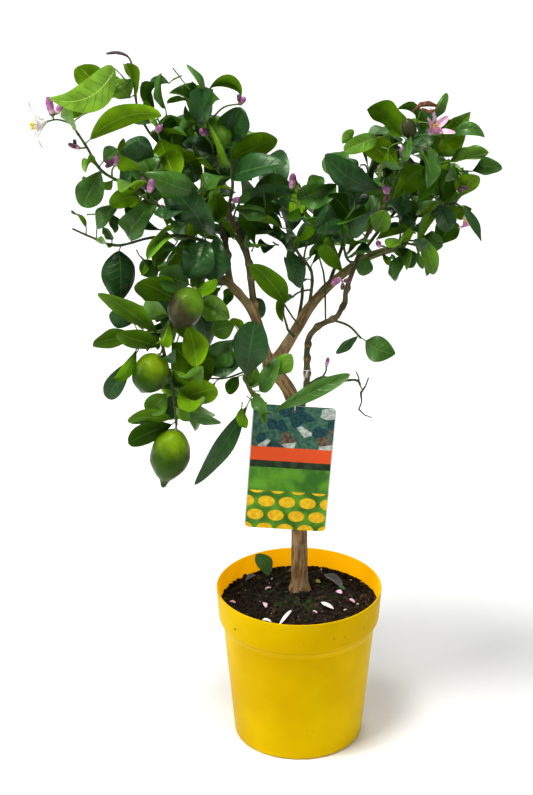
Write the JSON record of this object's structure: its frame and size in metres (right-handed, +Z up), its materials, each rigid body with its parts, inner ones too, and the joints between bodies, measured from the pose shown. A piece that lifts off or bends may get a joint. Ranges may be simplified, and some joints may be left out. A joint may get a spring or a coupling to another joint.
{
  "type": "potted lemon tree",
  "caption": "Small lemon tree with a forked trunk, open leafy crown, hanging green fruit and blossom, in a round tapered pot with a plant label on a thread.",
  "frame": {"origin": "middle of the pot's flat underside", "axes": "+Z up along the pot's axis, -Y towards the front with the label, +X to the right seen from the front"},
  "size_m": [0.497, 0.2825, 0.815],
  "materials": {
    "pot": "gloss",
    "soil": "matte",
    "bark": "matte",
    "foliage": "satin",
    "card": "satin",
    "thread": "matte"
  },
  "bodies": {
    "root": {"pot": "pot", "soil": "soil", "trunk": "bark", "left_bough": "bark", "right_bough": "bark", "front_bough": "bark", "left_leader": "bark", "knot_bough": "bark", "right_leader": "bark", "foliage_left_tip": "foliage", "foliage_top_left": "foliage", "foliage_top": "foliage", "foliage_centre": "foliage", "foliage_right_inner": "foliage", "foliage_right_top": "foliage", "foliage_right_tip": "foliage", "foliage_right_low": "foliage", "foliage_front_right": "foliage", "foliage_front_low": "foliage", "foliage_fruit_branch": "foliage", "foliage_left_side": "foliage", "foliage_back_low": "foliage", "foliage_back_left": "foliage", "foliage_back_top": "foliage", "foliage_back_centre": "foliage", "foliage_back_right": "foliage", "foliage_back_right_tip": "foliage", "bare_twig": "foliage", "label_card": "card", "label_thread": "thread"}
  },
  "joints": []
}
